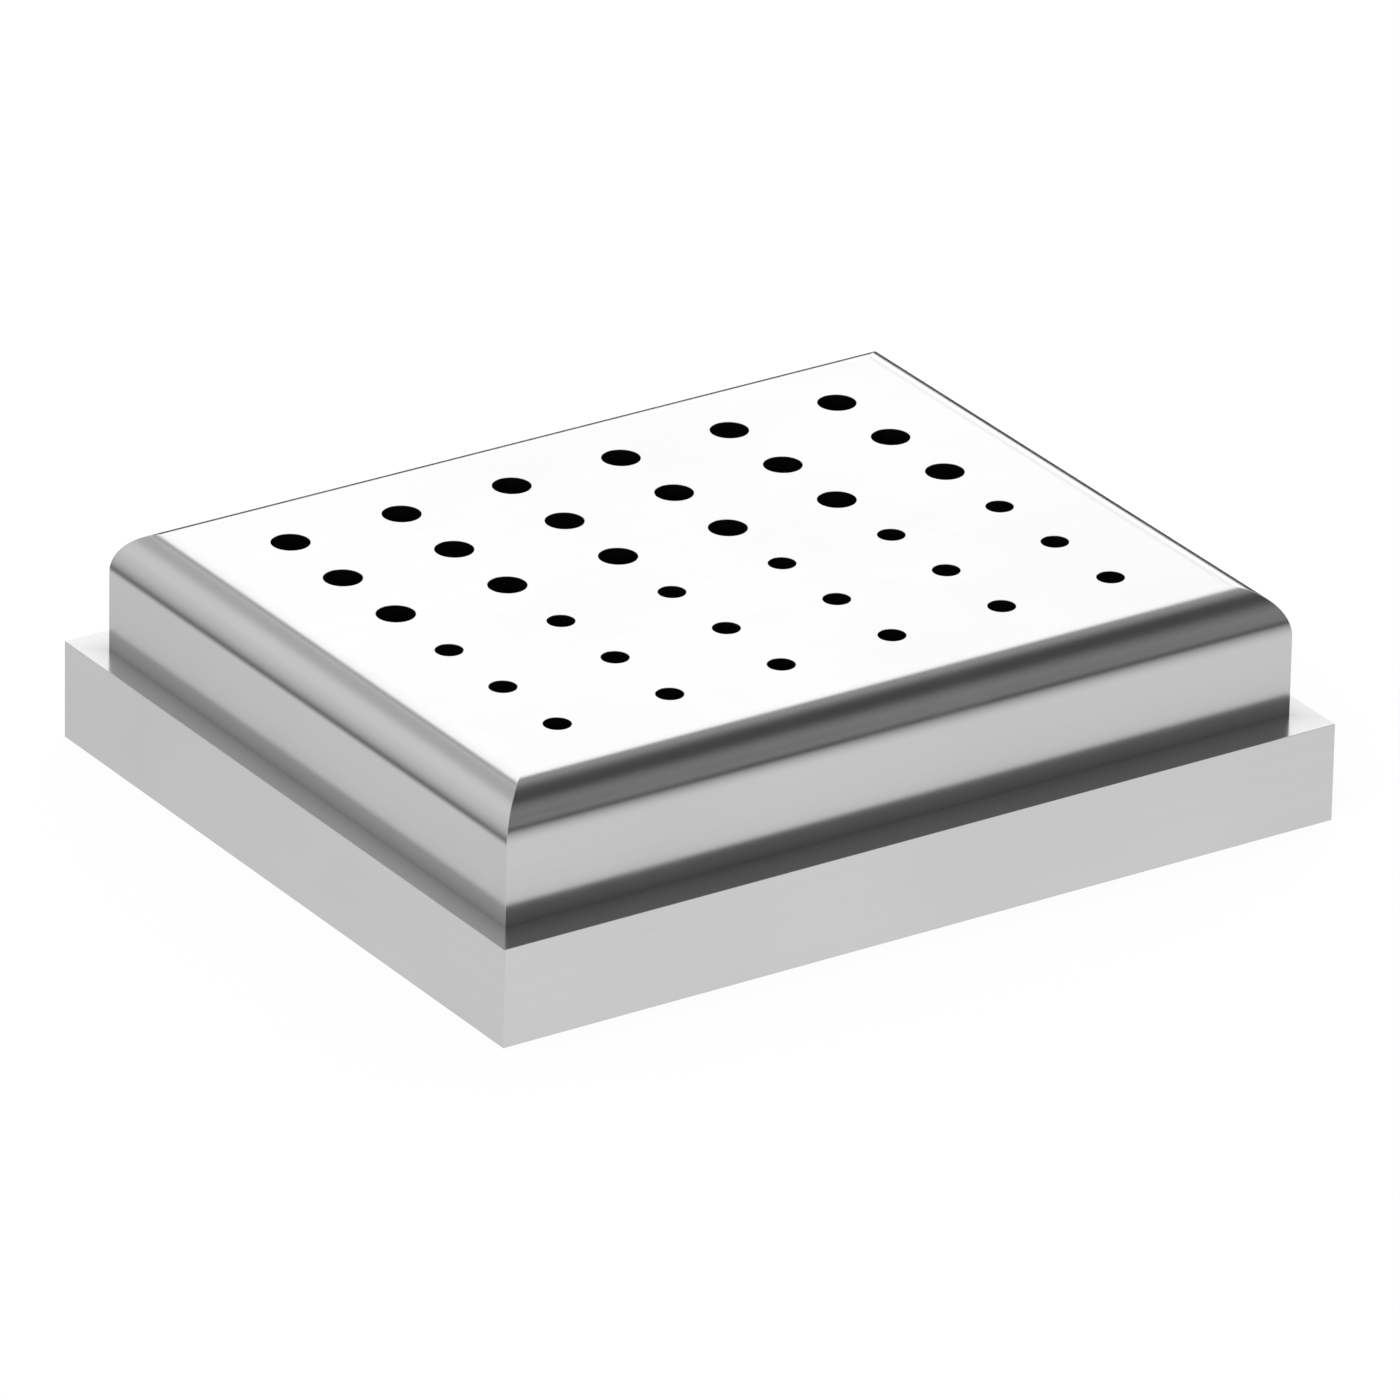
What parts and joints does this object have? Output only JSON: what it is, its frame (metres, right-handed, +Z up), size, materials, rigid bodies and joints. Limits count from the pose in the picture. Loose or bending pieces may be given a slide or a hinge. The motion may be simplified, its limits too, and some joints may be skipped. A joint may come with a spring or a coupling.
{
  "type": "bur holder box",
  "caption": "Low stepped steel box for dental burs: rounded hood perforated with small and large round holes, set back on a sharp-edged rectangular plinth.",
  "frame": {"origin": "centre of the underside, on the surface that the box stands on", "axes": "+Z up, X along the long side, -Y towards the front: the long face of the plinth beside the small holes"},
  "size_m": [0.06, 0.05, 0.0148],
  "materials": {
    "polished_steel": "satin polished stainless steel",
    "brushed_steel": "fine brushed stainless steel",
    "turned_steel": "turned stainless steel",
    "screw_steel": "bright stainless steel",
    "silicone_mat": "matt silicone"
  },
  "bodies": {
    "box": {"plinth": "polished_steel", "bottom_plate": "brushed_steel", "floor_mat": "silicone_mat", "guide_plate": "brushed_steel", "pillar_1": "turned_steel", "pillar_screw_1": "screw_steel", "guide_screw_1": "screw_steel", "plate_screw_1": "screw_steel", "pillar_2": "turned_steel", "pillar_screw_2": "screw_steel", "guide_screw_2": "screw_steel", "plate_screw_2": "screw_steel", "pillar_3": "turned_steel", "pillar_screw_3": "screw_steel", "guide_screw_3": "screw_steel", "plate_screw_3": "screw_steel", "pillar_4": "turned_steel", "pillar_screw_4": "screw_steel", "guide_screw_4": "screw_steel", "plate_screw_4": "screw_steel"},
    "hood": {"hood": "polished_steel"}
  },
  "joints": [
    {"name": "hood_lift", "type": "slide", "parent": "box", "child": "hood", "axis": [0, 0, 1], "range_m": [0, 0.02]}
  ]
}
